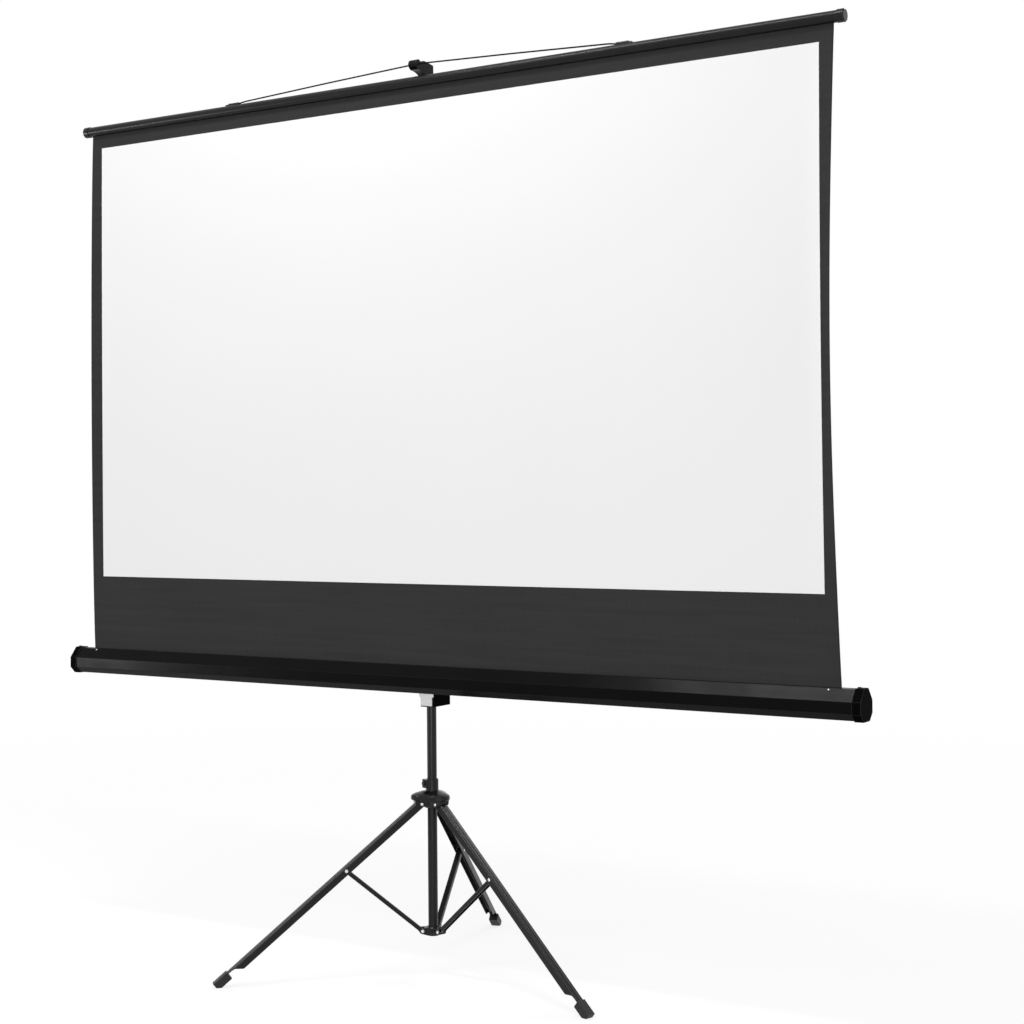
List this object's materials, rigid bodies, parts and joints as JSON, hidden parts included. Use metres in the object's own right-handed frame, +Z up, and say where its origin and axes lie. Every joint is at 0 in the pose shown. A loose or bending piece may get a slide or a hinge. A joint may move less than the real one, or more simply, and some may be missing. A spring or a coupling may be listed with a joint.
{
  "type": "tripod projection screen",
  "caption": "Portable projection screen: white cloth with a black border drawn up from an eight-sided case, hung by a wire bail on a telescopic mast with a folding tripod.",
  "frame": {"origin": "floor under the middle of the bounding box; the mast stands a little in front of it", "axes": "+X to the right seen from the viewing side, -Y towards the viewer, +Z up"},
  "size_m": [2.404, 0.9603, 2.364],
  "materials": {
    "black_paint": "semi-gloss black paint on steel",
    "black_plastic": "black moulded plastic",
    "case_black": "satin black coated aluminium extrusion",
    "rivet_bright": "bright zinc-plated rivets",
    "plate_steel": "bright plated steel plate",
    "roller_metal": "plain aluminium tube",
    "screen_cloth": "matte white viewing cloth with a matte black border"
  },
  "bodies": {
    "mast": {"mast_tube": "black_paint", "bottom_collar": "black_plastic", "collar_screw": "black_plastic", "collar_rivet_left": "rivet_bright", "collar_rivet_right": "rivet_bright", "collar_rivet_back": "rivet_bright", "mast_lock_collar": "black_plastic"},
    "stay_left": {"stay_left": "black_paint"},
    "leg_left": {"leg_left": "black_paint", "foot_left": "black_plastic", "stay_rivet_left": "rivet_bright"},
    "spider": {"spider_hub": "black_plastic", "hinge_rivet_left": "rivet_bright", "hinge_rivet_right": "rivet_bright", "hinge_rivet_back": "rivet_bright"},
    "leg_right": {"leg_right": "black_paint", "foot_right": "black_plastic", "stay_rivet_right": "rivet_bright"},
    "leg_back": {"leg_back": "black_paint", "foot_back": "black_plastic", "stay_rivet_back": "rivet_bright"},
    "stay_right": {"stay_right": "black_paint"},
    "stay_back": {"stay_back": "black_paint"},
    "clamp_screw": {"spider_clamp_screw": "black_plastic"},
    "lock_knob": {"mast_lock_knob": "black_plastic"},
    "carrier": {"mast_bracket": "black_plastic", "bracket_bolt": "black_paint", "case_plate": "plate_steel", "plate_rivet_left": "rivet_bright", "plate_rivet_right": "rivet_bright", "case_shell": "case_black", "case_cap_left": "black_plastic", "case_cap_right": "black_plastic", "screen_fabric": "screen_cloth"},
    "roller": {"roller_tube": "roller_metal", "roller_plug_left": "black_plastic", "roller_plug_right": "black_plastic"},
    "extension": {"extension_tube": "black_paint", "extension_guide": "black_plastic", "hook_head": "black_plastic", "top_bar": "case_black", "bar_cap_left": "black_plastic", "bar_cap_right": "black_plastic", "bail_clip_left": "black_paint", "bail_clip_right": "black_paint", "clip_rivet_left": "rivet_bright", "clip_rivet_right": "rivet_bright"},
    "bail": {"bail_wire": "black_paint"}
  },
  "joints": [
    {"name": "fold", "type": "hinge", "parent": "mast", "child": "stay_left", "pos_m": [-0.02121, -0.09359, 0.113], "axis": [-0.7071, 0.7071, 0], "range_deg": [0, 44]},
    {"name": "leg_left_turn", "type": "hinge", "parent": "stay_left", "child": "leg_left", "pos_m": [-0.1604, -0.23278, 0.277], "axis": [-0.7071, 0.7071, 0], "range_deg": [-88, 0]},
    {"name": "spider_slide_turn", "type": "hinge", "parent": "leg_left", "child": "spider", "pos_m": [-0.02121, -0.09359, 0.441], "axis": [-0.7071, 0.7071, 0], "range_deg": [0, 44]},
    {"name": "leg_right_turn", "type": "hinge", "parent": "spider", "child": "leg_right", "pos_m": [0.02898, -0.08014, 0.441], "axis": [-0.2588, -0.9659, 0], "range_deg": [-44, 0]},
    {"name": "stay_right_turn", "type": "hinge", "parent": "mast", "child": "stay_right", "pos_m": [0.02898, -0.08014, 0.113], "axis": [-0.2588, -0.9659, 0], "range_deg": [0, 44]},
    {"name": "leg_back_turn", "type": "hinge", "parent": "spider", "child": "leg_back", "pos_m": [-0.00777, -0.0434, 0.441], "axis": [0.9659, 0.2588, 0], "range_deg": [-44, 0]},
    {"name": "stay_back_turn", "type": "hinge", "parent": "mast", "child": "stay_back", "pos_m": [-0.00777, -0.0434, 0.113], "axis": [0.9659, 0.2588, 0], "range_deg": [0, 44]},
    {"name": "spider_clamp_turn", "type": "hinge", "parent": "spider", "child": "clamp_screw", "pos_m": [-0.00749, -0.09092, 0.492], "axis": [-0.3746, -0.9272, 0], "range_deg": [-720, 0]},
    {"name": "mast_lock_turn", "type": "hinge", "parent": "mast", "child": "lock_knob", "pos_m": [0, -0.05238, 1.245], "axis": [0, 1, 0], "range_deg": [-720, 0]},
    {"name": "swivel", "type": "hinge", "parent": "mast", "child": "carrier", "pos_m": [0, -0.07238, 0.734], "axis": [0, 0, 1], "range_deg": [-90, 90]},
    {"name": "raise", "type": "slide", "parent": "carrier", "child": "extension", "axis": [0, 0, 1], "range_m": [-1, 0], "deforming": ["screen_fabric"]},
    {"name": "bail_swing", "type": "hinge", "parent": "extension", "child": "bail", "pos_m": [0, -0.12638, 2.3223], "axis": [1, 0, 0], "range_deg": [0, 8]},
    {"name": "roller_turn", "type": "hinge", "parent": "carrier", "child": "roller", "pos_m": [0, -0.14108, 0.764], "axis": [1, 0, 0], "range_deg": [-3960, 0]}
  ],
  "couplings": [
    {"joint": "leg_left_turn", "follows": "fold", "ratio": -2},
    {"joint": "spider_slide_turn", "follows": "fold", "ratio": 1},
    {"joint": "leg_right_turn", "follows": "fold", "ratio": -1},
    {"joint": "stay_right_turn", "follows": "fold", "ratio": 1},
    {"joint": "leg_back_turn", "follows": "fold", "ratio": -1},
    {"joint": "stay_back_turn", "follows": "fold", "ratio": 1},
    {"joint": "roller_turn", "follows": "raise", "rad_per_m": 68.027}
  ]
}
